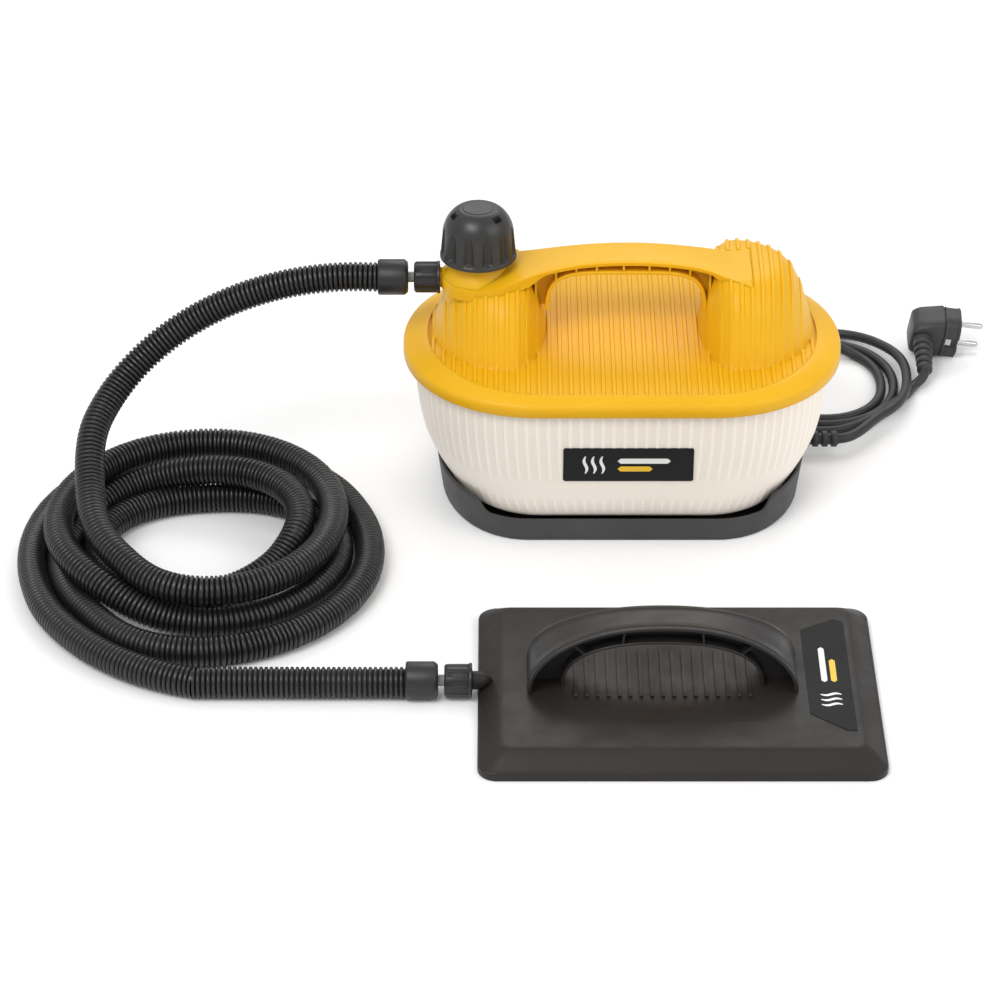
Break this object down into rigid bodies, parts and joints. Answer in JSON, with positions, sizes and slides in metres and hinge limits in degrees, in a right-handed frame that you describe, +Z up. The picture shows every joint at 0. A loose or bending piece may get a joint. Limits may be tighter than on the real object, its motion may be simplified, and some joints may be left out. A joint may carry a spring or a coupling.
{
  "type": "wallpaper steamer",
  "caption": "Electric wallpaper steamer with a handled lid over an oval tank, a screwed filler cap, a long corrugated hose, a flat steam plate with a strap handle, and a mains lead.",
  "frame": {"origin": "centre of the boiler's base tray, on the ground it stands on", "axes": "+X along the boiler from the hose end towards the cord end, +Y towards the back, away from the steam plate, +Z up"},
  "size_m": [0.7432, 0.6258, 0.2296],
  "materials": {
    "ivory_plastic": "satin, slightly translucent",
    "yellow_plastic": "glossy moulded",
    "tray_plastic": "fine matt grain",
    "cap_plastic": "satin",
    "black_plastic": "satin",
    "hose_plastic": "satin",
    "plate_plastic": "satin",
    "label_film": "printed film",
    "cord_pvc": "satin flexible",
    "plug_plastic": "satin flexible",
    "seal_rubber": "matt silicone rubber",
    "black_rubber": "matt",
    "steel": "bright",
    "plated": "plated",
    "brass": "satin",
    "clear_plastic": "milky",
    "white_plastic": "satin",
    "grey_plastic": "satin",
    "wire_pvc": "coloured insulation"
  },
  "bodies": {
    "boiler": {"tank": "ivory_plastic", "lid": "yellow_plastic", "lid_seal": "black_rubber", "neck_insert": "yellow_plastic", "base_tray": "tray_plastic", "feet": "black_rubber", "base_screws": "steel", "heating_element": "steel", "element_flange": "brass", "element_seal": "black_rubber", "thermal_cutout": "white_plastic", "terminal_block": "white_plastic", "terminal_cover": "tray_plastic", "internal_wires": "wire_pvc", "earth_tag": "plated", "cord_boot": "plug_plastic", "cord_clamp": "tray_plastic", "power_cord": "cord_pvc", "tank_label": "label_film", "tank_washer": "seal_rubber", "tank_tail": "clear_plastic", "tank_cuff": "black_plastic", "steam_hose": "hose_plastic"},
    "cap_seal": {"cap_gasket": "seal_rubber"},
    "cap": {"filler_cap": "cap_plastic", "cap_plug": "grey_plastic", "valve_spring": "steel", "valve_retainer": "grey_plastic"},
    "valve": {"valve_plunger": "brass"},
    "tank_ring": {"tank_thrust_ring": "white_plastic"},
    "tank_nut_body": {"tank_nut": "black_plastic"},
    "hose_end": {"hose_lead": "hose_plastic", "plate_cuff": "black_plastic", "plate_tail": "clear_plastic", "plate_washer": "seal_rubber"},
    "plate_ring": {"plate_thrust_ring": "white_plastic"},
    "plate_nut_body": {"plate_nut": "black_plastic"},
    "plate": {"steam_plate": "plate_plastic", "plate_handle": "plate_plastic", "handle_screws": "steel", "plate_spigot": "plate_plastic", "plate_label": "label_film"},
    "plug": {"cord_lead": "cord_pvc", "plug_boot": "plug_plastic", "plug_body": "plug_plastic", "plug_pins": "plated", "earth_clips": "plated"}
  },
  "joints": [
    {"name": "cap_rise", "type": "slide", "parent": "boiler", "child": "cap_seal", "axis": [0, 0, 1], "range_m": [0, 0.01]},
    {"name": "cap_turn", "type": "hinge", "parent": "cap_seal", "child": "cap", "pos_m": [-0.1076, 0, 0.193], "axis": [0, 0, 1], "range_deg": [0, 900]},
    {"name": "valve_lift", "type": "slide", "parent": "cap", "child": "valve", "axis": [0, 0, 1], "range_m": [0, 0.003], "stiffness_N_per_m": 300, "deforming": ["valve_spring"]},
    {"name": "tank_nut_travel", "type": "slide", "parent": "boiler", "child": "tank_ring", "axis": [-1, 0, 0], "range_m": [0, 0.004]},
    {"name": "tank_nut_turn", "type": "hinge", "parent": "tank_ring", "child": "tank_nut_body", "pos_m": [-0.145, 0, 0.171], "axis": [-1, 0, 0], "range_deg": [0, 720]},
    {"name": "plate_lift", "type": "hinge", "parent": "boiler", "child": "hose_end", "pos_m": [-0.212, -0.302, 0.0112], "axis": [0, -1, 0], "range_deg": [0, 40]},
    {"name": "plate_turn", "type": "hinge", "parent": "hose_end", "child": "plate", "pos_m": [-0.111, -0.302, 0.013], "axis": [1, 0, 0], "range_deg": [-90, 90]},
    {"name": "plate_nut_travel", "type": "slide", "parent": "hose_end", "child": "plate_ring", "axis": [-1, 0, 0], "range_m": [0, 0.004]},
    {"name": "plate_nut_turn", "type": "hinge", "parent": "plate_ring", "child": "plate_nut_body", "pos_m": [-0.12, -0.302, 0.013], "axis": [-1, 0, 0], "range_deg": [0, 720]},
    {"name": "plug_swing", "type": "hinge", "parent": "boiler", "child": "plug", "pos_m": [0.235, 0.125, 0.00395], "axis": [0, 0, 1], "range_deg": [-25, 0]}
  ],
  "couplings": [
    {"joint": "cap_rise", "follows": "cap_turn", "m_per_rad": 0.000636},
    {"joint": "tank_nut_travel", "follows": "tank_nut_turn", "m_per_rad": 0.000318},
    {"joint": "plate_nut_travel", "follows": "plate_nut_turn", "m_per_rad": 0.000318}
  ]
}
